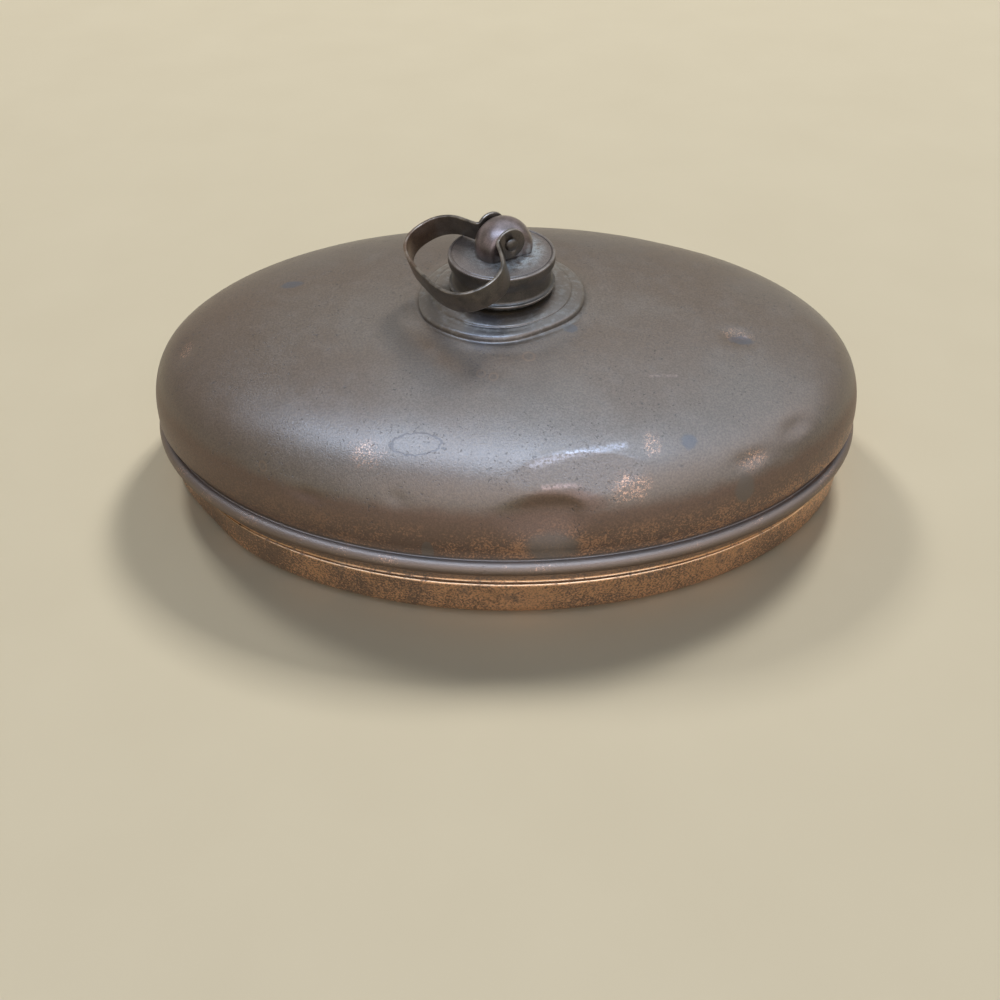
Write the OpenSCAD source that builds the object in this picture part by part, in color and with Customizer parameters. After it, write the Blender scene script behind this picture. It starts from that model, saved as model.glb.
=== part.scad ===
// Oval copper hot water bottle with a brass screw cap and a swinging bail.
// Millimetres, +Z up. The origin is on the base, under the middle of the oval.

/* [Body] */
// Length over the rolled bead
body_length = 305; // [270:1:340]
// Width over the rolled bead
body_width = 212; // [190:1:240]
// Thickness of the copper sheet
sheet = 1; // [0.8:0.05:1.2]

/* [Lower shell] */
// Height of the ledge under the bead
ledge_height = 16.5; // [12:0.5:18]
// How far the lower wall stands in from the bead at the two ends
lower_end_inset = 3.4; // [0.6:0.1:4]
// How far the lower wall stands in from the bead at the two sides
lower_side_inset = 0.6; // [0.3:0.1:1.2]
// Radius of the bottom edge
foot_radius = 4; // [2:0.5:7]

/* [Bead] */
// Height of the bead's middle
bead_height = 23.3; // [22.5:0.1:30]
// Radius of the bead
bead_radius = 3.2; // [2.8:0.1:4]

/* [Dome] */
// How far the dome's wall stands in from the bead at the two ends
end_inset = 1.1; // [0.6:0.1:4]
// How far the dome's wall stands in from the bead at the two sides
side_inset = 4.5; // [3:0.1:8]
// Height of the dome's widest line above the bead's middle
wall_rise = 7.7; // [6:0.1:12]
// Rise of the wall and shoulder above the widest line
shoulder_rise = 24; // [15:0.5:40]
// Squareness of the shoulder, higher for a tighter bend
shoulder_power = 9; // [6:1:16]
// Rise of the crown from the shoulder to the collar
crown_rise = 21.5; // [12:0.5:30]
// Fullness of the two ends, higher for a fuller end
end_fullness = 1.2; // [1:0.05:1.4]
// Depth of the large dent in the front of the shoulder
dent_depth = 6; // [0:0.5:8]

/* [Collar] */
// Radius of the collar's foot
collar_radius = 34; // [31:0.5:38]
// Radius of the groove between the collar's two rolls
step_radius = 28.3; // [26:0.1:29.5]
// Height of that groove above the dome
step_rise = 4; // [2:0.1:5]
// Radius of the collar's flat top
land_radius = 22; // [20:0.1:24]
// Height of the collar's flat top above the dome
collar_rise = 5.9; // [5.5:0.1:9]

/* [Neck] */
// Diameter of the mouth
mouth_diameter = 27; // [22:0.5:28]
// Thickness of the neck's wall inside the thread
neck_wall = 1.9; // [1.5:0.1:2.2]
// Height of the neck's top above the collar
neck_rise = 11.4; // [10.6:0.1:13]
// Depth of the neck below the collar's flat top
neck_drop = 5.5; // [4:0.5:10]
// Thickness of the neck's flange under the collar
neck_flange = 1.2; // [1:0.1:2]

/* [Thread] */
// Climb of the thread in one turn
thread_pitch = 2.4; // [2.2:0.1:2.8]
// Depth of the thread
thread_depth = 1.2; // [0.9:0.05:1.3]
// Play between the two threads
thread_clearance = 0.3; // [0.25:0.05:0.4]

/* [Cap] */
// Diameter of the cap's flange and of the rim of its skirt
cap_diameter = 43.2; // [41:0.1:48]
// Diameter of the cap's waist
waist_diameter = 39.8; // [38:0.1:40.4]
// Thickness of the cap's plate
cap_plate = 2.2; // [1.8:0.1:3]
// Height of the upright part of the cap's rounded lip
lip_height = 2.3; // [1.5:0.1:3]
// Height over which the lip runs in to the waist
lip_drop = 5.6; // [4:0.1:6.5]
// Height of the thin rim at the bottom of the skirt
rim_height = 1; // [0.8:0.1:1.5]
// Gap between the collar and the skirt's rim when the cap is tight
skirt_gap = 2.5; // [2.2:0.1:3.4]
// Thickness of the leather washer
gasket_thickness = 2; // [1.5:0.1:3]
// Diameter of the hole in the leather washer
gasket_hole = 20; // [14:0.5:22]

/* [Bail boss] */
// Radius of the domed boss
boss_radius = 11.6; // [10.5:0.1:13]
// Height of the middle of the dome above the cap
boss_rise = 2.5; // [2:0.1:4]
// Width of the boss across its two flats
boss_width = 14; // [12:0.5:17]
// Rounding of the edges between the dome and its flats
boss_edge = 3; // [1:0.25:4]
// How far the boss sits off the cap's middle, away from the bail's loop
boss_aside = 0.9; // [0:0.1:1.5]
// Diameter of the spigot that rivets the boss to the cap
spigot_diameter = 6; // [5:0.5:8]

/* [Bail] */
// Height of the pin above the cap
pin_height = 7.4; // [7:0.1:9]
// How far the pin sits off the cap's middle, towards the bail's loop
pin_aside = 0.4; // [0:0.1:1]
// Diameter of the pin
pin_diameter = 3; // [2.5:0.1:4]
// Diameter of the pin's round heads
pin_head = 5.2; // [4.8:0.1:7]
// Diameter of the bail's eyes
eye_diameter = 12.4; // [11:0.1:13.6]
// Thickness of the strap
strap_thickness = 1.4; // [1.2:0.1:2.4]
// Width of the strap
strap_width = 9.3; // [8:0.1:11]
// Distance from the pin to the far end of the loop
loop_reach = 35.6; // [33:0.1:42]
// Width of the loop
loop_width = 54.8; // [52:0.2:62]
// Distance from the pin to the widest part of the loop
loop_middle = 20.8; // [19:0.1:24]
// Direction in which the bail lies, anticlockwise from +X
bail_direction = 210.6; // [0:0.1:359]

/* [Hidden] */

// Fineness of round surfaces, and of the two oval shells
$fn = 96;
oval_steps = 64;
dome_steps = 16;
lining_steps = 9;
roll_steps = 6;
thread_steps = 36;
bend_steps = 14;
edge_steps = 5;

// Fits
solder_gap = 0.1;
seat_gap = 0.1;
rivet_gap = 0.1;
pin_gap = 0.05;
eye_play = 0.08;
eye_gap = 0.2;
washer_play = 0.5;
rest_gap = 0.2;

// Levels, from the base up
dome_top = bead_height + wall_rise + shoulder_rise + crown_rise;
collar_top = dome_top + collar_rise;
neck_top = collar_top + neck_rise;
skirt_bottom = collar_top + skirt_gap;
gasket_bottom = neck_top + seat_gap;
plate_bottom = gasket_bottom + gasket_thickness + seat_gap;
cap_top = plate_bottom + cap_plate;
pin_level = cap_top + pin_height;

// Rolled bead, from its lower lip round to the crease where the wall rises
curl_end = -75;
curl_top = 105;
curl_step = 25;
curl_radius = bead_radius - sheet;
crease_width = 1.2;
crease_lift = 0.7;
crease_drop = 0.2;
crease_inset = bead_radius + crease_width;
crease_rise = bead_radius + crease_lift;

// Lap of the lower shell inside the bead
lap_inset = bead_radius - curl_radius * cos(curl_end) + solder_gap;
lap_reach = 0.7;
lap_top = bead_height + curl_radius * lap_reach;

// The lining's crease above the bead's hollow
throat_width = 1.2;
throat_lift = 0.4;
curl_roof = bead_height + curl_radius * sin(curl_top);
throat_inset = bead_radius - curl_radius * cos(curl_top) + throat_width;
throat_height = bead_height + curl_radius + throat_lift;

// Neck and thread radii
bore_radius = mouth_diameter / 2;
root_radius = bore_radius + neck_wall;
crest_radius = root_radius + thread_depth;
cap_bore_radius = crest_radius + thread_clearance;
ridge_base = thread_pitch / 3;
ridge_crest = thread_pitch / 10;
ridge_sink = 0.4;
ridge_margin = 0.2;
shank_height = 2.4;
neck_ridge_low = collar_top + shank_height + ridge_base + ridge_margin;
neck_ridge_high = neck_top - ridge_base - ridge_margin;
cap_ridge_low = skirt_bottom + ridge_base + ridge_margin;
cap_ridge_high = neck_top - ridge_base - ridge_margin;
flange_edge = 0.6;

// Bail
eye_middle = boss_width / 2 + eye_gap + strap_thickness / 2;
eye_outside = eye_middle + strap_thickness / 2;
loop_side = loop_width / 2;
tab_length = 3.5;
tab_pull = 4.5;
flare_pull = 15.2;
side_pull = 14.9;
bow_fullness = 0.39;

// One ring of points round an oval
function oval_ring(half_length, half_width, z) =
    [for (i = [0 : oval_steps - 1]) let (turn = 360 * i / oval_steps)
        [half_length * cos(turn), half_width * sin(turn), z]];

// One ring that stands in from the bead's outer edge by the same distance all round
function rim_ring(inset, z) =
    let (half_length = body_length / 2, half_width = body_width / 2)
    [for (i = [0 : oval_steps - 1])
        let (turn = 360 * i / oval_steps,
             out = [half_width * cos(turn), half_length * sin(turn)],
             unit = out / norm(out))
        [half_length * cos(turn) - inset * unit[0],
         half_width * sin(turn) - inset * unit[1], z]];

// Faces between rings that follow each other, and a ring's own number of points
function band_faces(count, closed) =
    [for (k = [0 : count - (closed ? 1 : 2)], i = [0 : oval_steps - 1])
        let (j = (i + 1) % oval_steps, here = k * oval_steps,
             next = ((k + 1) % count) * oval_steps)
        each [[here + i, next + i, next + j], [here + i, next + j, here + j]]];

function flatten(rings) = [for (ring = rings) each ring];
function reversed(list) = [for (i = [len(list) - 1 : -1 : 0]) list[i]];

// The other half of a line that ends on the X axis, back from there
function mirrored(line) = [for (i = [len(line) - 2 : -1 : 0]) [line[i][0], -line[i][1]]];

// A solid whose section goes once round a closed line of rings
module ring_solid(rings) {
    polyhedron(points = flatten(rings), faces = band_faces(len(rings), true), convexity = 8);
}

// A pan whose line of rings starts and ends with a flat floor
module pan_solid(rings) {
    last = (len(rings) - 1) * oval_steps;
    outer_floor = [for (i = [0 : oval_steps - 1]) i];
    inner_floor = [for (i = [oval_steps - 1 : -1 : 0]) last + i];
    polyhedron(points = flatten(rings),
               faces = concat([outer_floor], band_faces(len(rings), false), [inner_floor]),
               convexity = 8);
}

// Lower shell: base, rounded foot, wall, ledge, recess and lap inside the bead
function wall_inset(turn) =
    lower_side_inset + (lower_end_inset - lower_side_inset) * pow(cos(turn), 2);

// One ring of the lower shell, from its wall's line at share 0 to the lap's line at share 1
function lower_ring(share, skin, z) =
    [for (i = [0 : oval_steps - 1])
        let (turn = 360 * i / oval_steps,
             inset = wall_inset(turn) * (1 - share) + lap_inset * share + skin)
        rim_ring(inset, z)[i]];

function foot_arc(skin) =
    [for (turn = [0 : 30 : 90])
        lower_ring(0, foot_radius - (foot_radius - skin) * sin(turn),
                   foot_radius - (foot_radius - skin) * cos(turn))];

module lower_shell() {
    ledge_round = 1.2;
    ledge_lip = 0.3;
    corner_share = 0.15;
    thinning = [0.4, 0.6, 0.7];
    outside = concat(foot_arc(0), [
        lower_ring(0, 0, ledge_height - ledge_round),
        lower_ring(corner_share, 0, ledge_height - ledge_lip),
        lower_ring(0.5, 0, ledge_height),
        lower_ring(1, 0, ledge_height + ledge_lip),
        lower_ring(1, 0, lap_top)]);
    inside = concat([
        lower_ring(1, sheet, lap_top),
        lower_ring(1, sheet, ledge_height + ledge_lip - thinning[2] * sheet),
        lower_ring(0.5, thinning[0] * sheet, ledge_height - sheet),
        lower_ring(0, sheet, ledge_height - ledge_round - thinning[1] * sheet)],
        reversed(foot_arc(sheet)));
    color("#9a5f3c") pan_solid(concat(outside, inside));
}

// Upper shell: rolled bead, wall, shoulder, crown and the two rolls of the collar
function dome_height(share, top) =
    bead_height + wall_rise
    + (top - bead_height - wall_rise - crown_rise) * sqrt(1 - pow(share, shoulder_power))
    + crown_rise * (1 - share * share);

// The large dent pushes the front of the shoulder in, long on its left and short on its right
dent_aside = 25;
dent_inset = 3;
dent_drop = 4;
dent_place = [dent_aside, dent_inset + side_inset - body_width / 2, dome_top - crown_rise - dent_drop];
dent_left = 32;
dent_right = 13;
dent_depthwise = 16;
dent_tall = 11;
dent_push = [0, 0.95, -0.3];
function dented(point) =
    let (away = point - dent_place,
         far = pow(away[0] / (away[0] < 0 ? dent_left : dent_right), 2)
             + pow(away[1] / dent_depthwise, 2) + pow(away[2] / dent_tall, 2))
    point + dent_depth * exp(-far) * dent_push;

function dome_ring(share, skin) =
    let (end = body_length / 2 - end_inset - skin, side = body_width / 2 - side_inset - skin,
         end_share = 1 - pow(1 - share, end_fullness))
    [for (point = oval_ring(collar_radius + (end - collar_radius) * end_share,
                            collar_radius + (side - collar_radius) * share,
                            dome_height(share, dome_top - skin)))
        dented(point)];

// The rings lie closer together towards the tight bend of the shoulder
dome_spacing = 2.2;
function dome_rings(steps, skin) =
    [for (k = [0 : steps]) dome_ring(1 - pow(k / steps, dome_spacing), skin)];

function curl_ring(radius, turn) =
    rim_ring(bead_radius - radius * cos(turn), bead_height + radius * sin(turn));

// One convex roll of the collar, from its foot in to its top
outer_roundness = 0.75;
inner_roundness = 0.95;
roll_lean = 0.7;
function roll_rings(foot, top, low, rise, roundness, skin) =
    [for (k = [1 : roll_steps])
        let (turn = 90 * k / roll_steps,
             radius = top + (foot - top) * pow(cos(turn), roundness) - skin * roll_lean)
        oval_ring(radius, radius, low + rise * pow(sin(turn), roundness) - skin)];
function outer_roll(skin) =
    roll_rings(collar_radius, step_radius, dome_top, step_rise, outer_roundness, skin);
function inner_roll(skin) =
    roll_rings(step_radius, land_radius, dome_top + step_rise, collar_rise - step_rise,
               inner_roundness, skin);

module upper_shell() {
    hole = crest_radius + 2 * solder_gap;
    outside = concat(
        [for (turn = [curl_end : curl_step : -curl_end]) curl_ring(bead_radius, turn)],
        [curl_ring(bead_radius, curl_top), rim_ring(crease_inset, bead_height + crease_rise)],
        dome_rings(dome_steps, 0),
        outer_roll(0),
        inner_roll(0),
        [oval_ring(hole, hole, collar_top)]);
    inside = concat(
        [oval_ring(hole, hole, collar_top - sheet)],
        reversed(inner_roll(sheet)),
        reversed(outer_roll(sheet)),
        reversed(dome_rings(lining_steps, sheet)),
        [rim_ring(crease_inset + sheet, bead_height + crease_rise - crease_drop),
         rim_ring(throat_inset, throat_height)],
        [for (turn = [curl_top : -2 * curl_step : curl_end]) curl_ring(curl_radius, turn)],
        [curl_ring(curl_radius, curl_end)]);
    color("#7a5a48") ring_solid(concat(outside, inside));
}

// Solder in the inner corner between the two shells
module seam_solder() {
    near = lap_inset + sheet + solder_gap;
    foot = 2.4;
    belly = 0.9;
    lip = 0.3;
    color("#8d8d88") ring_solid([
        rim_ring(near, lap_top - foot),
        rim_ring(near, curl_roof - solder_gap),
        rim_ring(throat_inset, throat_height - 2.5 * solder_gap),
        rim_ring(throat_inset + belly, throat_height + belly - throat_lift),
        rim_ring(near + belly, lap_top - lip)]);
}

// Ridge of a thread: a helix of four-sided sections that thins out at both ends
module thread_ridge(root, crest, low, high, start) {
    steps = ceil(thread_steps * (high - low) / thread_pitch);
    side = crest > root ? 1 : -1;
    fade = 6;
    blunt = 0.3;
    points = [for (k = [0 : steps])
        let (turn = start + 360 * k / thread_steps, z = low + thread_pitch * k / thread_steps,
             full = min(1, (k + blunt) / fade, (steps - k + blunt) / fade),
             deep = root - side * ridge_sink, tip = root + (crest - root) * full)
        each [for (corner = [[deep, -ridge_base], [tip, -ridge_crest],
                             [tip, ridge_crest], [deep, ridge_base]])
            [corner[0] * cos(turn), corner[0] * sin(turn), z + corner[1]]]];
    sides = [for (k = [0 : steps - 1], c = [0 : 3])
        let (a = 4 * k + c, b = 4 * k + (c + 1) % 4)
        each [[a, a + 4, b + 4], [a, b + 4, b]]];
    ends = [[0, 1, 2], [0, 2, 3],
            [4 * steps + 2, 4 * steps + 1, 4 * steps], [4 * steps + 3, 4 * steps + 2, 4 * steps]];
    faces = concat(sides, ends);
    polyhedron(points = points,
               faces = side < 0 ? faces : [for (face = faces) reversed(face)], convexity = 6);
}

// Neck: turned brass tube with a flange under the collar and a screw thread above it
module neck() {
    bottom = collar_top - neck_drop;
    flange_top = collar_top - sheet - solder_gap;
    flange_radius = land_radius - neck_flange;
    shank_top = collar_top + shank_height;
    chamfer = 0.5;
    color("#8c7a4c") union() {
        rotate_extrude() polygon([
            [bore_radius, bottom], [crest_radius, bottom],
            [crest_radius, flange_top - neck_flange], [flange_radius, flange_top - neck_flange],
            [flange_radius, flange_top], [crest_radius, flange_top],
            [crest_radius, shank_top], [root_radius, shank_top + chamfer],
            [root_radius, neck_top - chamfer], [root_radius - chamfer, neck_top],
            [bore_radius, neck_top]]);
        thread_ridge(root_radius, crest_radius, neck_ridge_low, neck_ridge_high, 0);
    }
}

// Solder fillet round the neck, on the collar's flat top
module neck_solder() {
    near = crest_radius + solder_gap / 2;
    low = collar_top + solder_gap / 2;
    leg = 2;
    rise = 0.7;
    hollow = [0.4, 0.35];
    color("#8d8d88") rotate_extrude() polygon([
        [near, low], [near + leg, low],
        [near + leg * hollow[0], low + rise * hollow[1]], [near, low + rise]]);
}

// Leather washer that seals the cap on the neck
module gasket() {
    color("#4a3326") translate([0, 0, gasket_bottom]) difference() {
        cylinder(r = cap_bore_radius - washer_play, h = gasket_thickness);
        translate([0, 0, -gasket_thickness]) cylinder(d = gasket_hole, h = 3 * gasket_thickness);
    }
}

// Cap: flange with a thick rounded lip, long waist, thin rim, and a thread inside
module cap() {
    rim = cap_diameter / 2;
    waist = waist_diameter / 2;
    lip_steps = 8;
    lip_low = cap_top - lip_height;
    rim_top = skirt_bottom + rim_height;
    rim_edge = 0.25;
    cove = rim - rim_edge - waist;
    chamfer = 0.4;
    groove_inset = 1.5;
    groove_width = 0.7;
    groove_depth = 0.3;
    hole = spigot_diameter / 2 + rivet_gap;
    rim_line = [[rim - rim_edge, skirt_bottom], [rim, skirt_bottom + rim_edge], [rim, rim_top - rim_edge]];
    cove_line = [for (turn = [0 : 15 : 90])
        [waist + cove * (1 - sin(turn)), rim_top + cove * (1 - cos(turn))]];
    lip_line = [for (k = [0 : lip_steps])
        let (share = k / lip_steps, out = 0.5 - 0.5 * cos(180 * share))
        [waist + (rim - waist) * out, lip_low - lip_drop * (1 - share)]];
    edge_line = [for (turn = [0 : 15 : 90])
        [rim - flange_edge * (1 - cos(turn)), cap_top - flange_edge * (1 - sin(turn))]];
    groove = [for (step = [-1, 0, 1])
        [rim - groove_inset - step * groove_width / 2, cap_top - groove_depth * (1 - abs(step))]];
    lead = 360 * (cap_ridge_low - neck_ridge_low - thread_pitch / 2) / thread_pitch;
    color("#6d6047") union() {
        rotate_extrude() polygon(concat(
            [[cap_bore_radius + chamfer, skirt_bottom]],
            rim_line, cove_line, lip_line, edge_line, groove,
            [[hole, cap_top], [hole, plate_bottom], [cap_bore_radius, plate_bottom],
             [cap_bore_radius, skirt_bottom + chamfer]]));
        thread_ridge(cap_bore_radius, root_radius + thread_clearance,
                     cap_ridge_low, cap_ridge_high, lead);
    }
}

// Places a piece at the pin, with the bail lying along +X and the pin along Y
module at_pin() {
    translate([pin_aside * cos(bail_direction), pin_aside * sin(bail_direction), pin_level])
        rotate([0, 0, bail_direction]) children();
}

// Cylinder along Y about the pin's axis
module cross_cylinder(radius, length) {
    rotate([90, 0, 0]) cylinder(r = radius, h = length, center = true);
}

// Half of the boss's section, from the middle of a flat round to the dome's widest line
boss_half = boss_width / 2;
flat_radius = sqrt(pow(boss_radius - boss_edge, 2) - pow(boss_half - boss_edge, 2));
edge_turn = atan2(boss_half - boss_edge, flat_radius);
boss_line = concat([[0, boss_half]],
    [for (k = [0 : edge_steps]) let (turn = 90 - (90 - edge_turn) * k / edge_steps)
        [flat_radius + boss_edge * cos(turn), boss_half - boss_edge + boss_edge * sin(turn)]],
    [for (k = [1 : edge_steps]) let (turn = edge_turn * (1 - k / edge_steps))
        [boss_radius * cos(turn), boss_radius * sin(turn)]]);

// Boss: dome with a flat each side, riveted through the cap
module bail_boss() {
    rivet_head = 1.1;
    rivet_flare = 3;
    reach = 2 * boss_radius;
    color("#6a5a48") at_pin() difference() {
        union() {
            intersection() {
                translate([-pin_aside - boss_aside, 0, boss_rise - pin_height]) rotate([90, 0, 0])
                    rotate_extrude() polygon(concat(boss_line, mirrored(boss_line)));
                translate([-reach, -reach, -pin_height]) cube(2 * reach);
            }
            translate([-pin_aside, 0, -pin_height - cap_plate - rivet_head / 2])
                cylinder(d = spigot_diameter, h = cap_plate + rivet_head / 2);
            translate([-pin_aside, 0, -pin_height - cap_plate - rivet_head])
                cylinder(d1 = spigot_diameter, d2 = spigot_diameter + rivet_flare, h = rivet_head);
        }
        cross_cylinder(pin_diameter / 2 + pin_gap, 2 * boss_width);
    }
}

// Pin with a round peened head at each end
module bail_pin() {
    head_height = 1.6;
    head_rim = 0.4;
    inner_face = eye_outside + eye_gap / 2;
    crown = [for (turn = [0 : 15 : 90])
        [pin_head / 2 * cos(turn), head_rim + (head_height - head_rim) * sin(turn)]];
    color("#5f5340") at_pin() union() {
        cross_cylinder(pin_diameter / 2, 2 * (inner_face + head_rim));
        for (side = [-1, 1])
            translate([0, side * inner_face, 0]) rotate([-90 * side, 0, 0])
                rotate_extrude() polygon(concat([[0, 0], [pin_head / 2, 0]], crown));
    }
}

// Half of the strap's middle line, from an eye to the far end of the loop, with its direction
function bend(p, t) =
    pow(1 - t, 3) * p[0] + 3 * t * pow(1 - t, 2) * p[1] + 3 * t * t * (1 - t) * p[2] + t * t * t * p[3];
function bend_way(p, t) =
    let (way = pow(1 - t, 2) * (p[1] - p[0]) + 2 * t * (1 - t) * (p[2] - p[1]) + t * t * (p[3] - p[2]))
    way / norm(way);
arm = [[tab_length, eye_middle], [tab_length + tab_pull, eye_middle],
       [loop_middle - flare_pull, loop_side], [loop_middle, loop_side]];
bow = [[loop_middle, loop_side], [loop_middle + side_pull, loop_side],
       [loop_reach, loop_side * bow_fullness], [loop_reach, 0]];
half_line = concat([[[0, eye_middle], [1, 0]]],
    [for (k = [0 : bend_steps]) [bend(arm, k / bend_steps), bend_way(arm, k / bend_steps)]],
    [for (k = [1 : bend_steps]) [bend(bow, k / bend_steps), bend_way(bow, k / bend_steps)]]);

// One edge of the strap, beside its middle line
function strap_edge(offset) =
    [for (spot = half_line) spot[0] + offset * [-spot[1][1], spot[1][0]]];

// The strap's inner face crosses the cap's edge here, with the cap's middle this far behind the pin
function flange_crossing(behind) =
    let (rim = cap_diameter / 2 - flange_edge, line = strap_edge(-strap_thickness / 2),
         away = [for (spot = line) norm([spot[0] + behind, spot[1]])],
         after = [for (k = [1 : len(line) - 1]) if (away[k - 1] < rim && away[k] >= rim) k][0])
    line[after - 1][0] + (line[after][0] - line[after - 1][0])
        * (rim - away[after - 1]) / (away[after] - away[after - 1]);

// There it droops until its lower edge rests on the cap
function droop(behind) =
    let (reach = flange_crossing(behind), half = strap_width / 2)
    asin((pin_height - rest_gap) / norm([reach, half])) - atan2(half, reach);

// Bail: flat strap bent to a loop, with a round eye at each end
module bail() {
    outer = strap_edge(strap_thickness / 2);
    inner = strap_edge(-strap_thickness / 2);
    outline = concat(outer, mirrored(outer), reversed(concat(inner, mirrored(inner))));
    color("#5c513f") at_pin() rotate([0, droop(pin_aside), 0]) difference() {
        union() {
            linear_extrude(height = strap_width, center = true) polygon(outline);
            for (side = [-1, 1])
                translate([0, side * eye_middle, 0]) cross_cylinder(eye_diameter / 2, strap_thickness);
        }
        cross_cylinder(pin_diameter / 2 + eye_play, 4 * eye_outside);
    }
}

lower_shell();
upper_shell();
seam_solder();
neck();
neck_solder();
gasket();
cap();
bail_boss();
bail_pin();
bail();
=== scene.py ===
import math

import bmesh
import bpy
import numpy as np
from mathutils import Matrix, Vector, noise


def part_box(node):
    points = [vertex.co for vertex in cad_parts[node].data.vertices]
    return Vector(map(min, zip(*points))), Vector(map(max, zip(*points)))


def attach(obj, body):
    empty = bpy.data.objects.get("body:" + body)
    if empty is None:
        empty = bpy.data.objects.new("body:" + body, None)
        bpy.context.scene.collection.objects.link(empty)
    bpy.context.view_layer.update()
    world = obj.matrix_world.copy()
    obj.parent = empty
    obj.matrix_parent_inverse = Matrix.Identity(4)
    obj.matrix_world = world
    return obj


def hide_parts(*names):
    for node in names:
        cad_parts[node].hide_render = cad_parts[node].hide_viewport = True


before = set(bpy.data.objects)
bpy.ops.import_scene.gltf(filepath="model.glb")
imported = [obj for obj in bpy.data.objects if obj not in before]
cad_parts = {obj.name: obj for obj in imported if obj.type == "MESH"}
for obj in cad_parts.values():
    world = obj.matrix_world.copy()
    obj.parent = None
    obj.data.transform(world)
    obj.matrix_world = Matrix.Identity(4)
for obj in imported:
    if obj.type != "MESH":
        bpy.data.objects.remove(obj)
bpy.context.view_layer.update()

MM = 0.001

# Sizes in millimetres. The outer ones come from the parts in model.glb.
HALF_LENGTH, HALF_WIDTH, COLLAR_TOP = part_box("upper_shell")[1] / MM
cap_low, cap_high = (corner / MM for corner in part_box("cap"))
SKIRT_BOTTOM, CAP_TOP = cap_low.z, cap_high.z
SHEET = 1.0

# Bead, with the crease over it
BEAD_HEIGHT = 23.3
BEAD_RADIUS = 3.2
CURL_START = -75
CURL_END = 105
CREASE_INSET = BEAD_RADIUS + 1.2
CREASE_HEIGHT = BEAD_HEIGHT + BEAD_RADIUS + 0.7

# Dome
END_INSET = 1.1
SIDE_INSET = 4.5
WALL_TOP = 31.0
SHOULDER_RISE = 24.0
SHOULDER_POWER = 9
CROWN_RISE = 21.5
END_FULLNESS = 1.2
DOME_TOP = WALL_TOP + SHOULDER_RISE + CROWN_RISE

# Collar
COLLAR_RADIUS = 34.0
GROOVE_RADIUS = 28.3
GROOVE_RISE = 4.0
LAND_RADIUS = 22.0
NECK_HOLE = 16.8
OUTER_ROUNDNESS = 0.75
INNER_ROUNDNESS = 0.95
ROLL_LEAN = 0.7

# Wear of the collar: soft blends at its foot and groove, a crumple on the left and a pressed
# front right. A turn, in degrees from the right, and a radius are each a middle and a width.
FOOT_BLEND = 1.1
FOOT_BLEND_RADIUS = (COLLAR_RADIUS + 1.6, 3.0)
GROOVE_BLEND = 0.5
GROOVE_BLEND_RADIUS = (GROOVE_RADIUS + 0.7, 1.3)
CRUMPLE_TURN = (206, 24)
CRUMPLE_RADIUS = (32, 3.2)
CRUMPLE_DROP = 1.3
CRUMPLE_SPREAD = 1.8
CRUMPLE_LIP = 0.55
CRUMPLE_LIP_RADIUS = (36.5, 1.6)
PRESSED_TURN = (304, 26)
PRESSED_RADIUS = (34, 5)
PRESSED_DEPTH = 2.6

# The large dent's facet and lip, and the hollow under them. The fades are places along X or Z
# from where there is none of it to where there is all. The bowl is 5 mm high at its reach.
FACET_PLACE = (36, -86.9, 58)
FACET_SLOPE = 0.966
FACET_TURN = 0.147
FACET_SOFTNESS = 0.1
LIP_RISE = 0.28
LIP_OFFSET = 0.35
LIP_WIDTH = 0.3
LIP_LEFT_FADE = (8, 16)
LIP_RIGHT_FADE = (62, 50)
LIP_LOW_FADE = (56, 60)
HOLLOW_PLACE = (26, -93.6)
HOLLOW_LEFT, HOLLOW_RIGHT = 26, 12
HOLLOW_TOP = 49
HOLLOW_SLOPE = 0.48
HOLLOW_ROUNDING = 3
HOLLOW_CURVE = 1.2
HOLLOW_BOWL = 5.0 / 0.56
HOLLOW_SOFTNESS = 0.7
HOLLOW_LOW_FADE = (26.5, 31)
HOLLOW_CLEARANCE = 30

# Small dents: middle, reach along each axis and push
SMALL_DENTS = [
    ((94.2, -17.4, 70.7), (6, 5, 8), (0, 0, -0.9)),
    ((97, -13, 70.7), (5, 4, 8), (0, 0, 0.3)),
    ((-130.5, -17, 60.6), (6, 7, 6), (0.7, 0, -0.5)),
    ((114, -56, 55.4), (9, 6, 3), (-0.5, 0.6, -0.4)),
    ((96, -72, 52.5), (9, 6, 3), (-0.4, 0.7, -0.4)),
    ((-71, -88, 45), (7, 7, 2.5), (0.3, 0.8, 0)),
    ((-36, -95, 50), (4, 7, 3), (0, 0.5, 0)),
]
BASE_DENT = ((-128, -58, 8), (24, 26, 10), (2.6, 2.6, 0))

# Lower shell. The ledge's steps are a share of the way in to the lap, an inset and a rise.
# Below the flat height the sheet doesn't waver, so that it stands flat.
LOWER_END_INSET = 3.4
LOWER_SIDE_INSET = 0.6
FOOT_RADIUS = 4.0
FLAT_HEIGHT = 1.5
LEDGE_HEIGHT = 16.5
LEDGE_STEPS = [(0, 0.05, -0.7), (0.08, 0, -0.3), (0.25, 0, -0.05), (0.5, 0, 0),
               (0.85, 0, 0.05), (1, 0, 0.4)]
LAP_INSET = 2.7
LAP_TOP = 24.8

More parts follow.
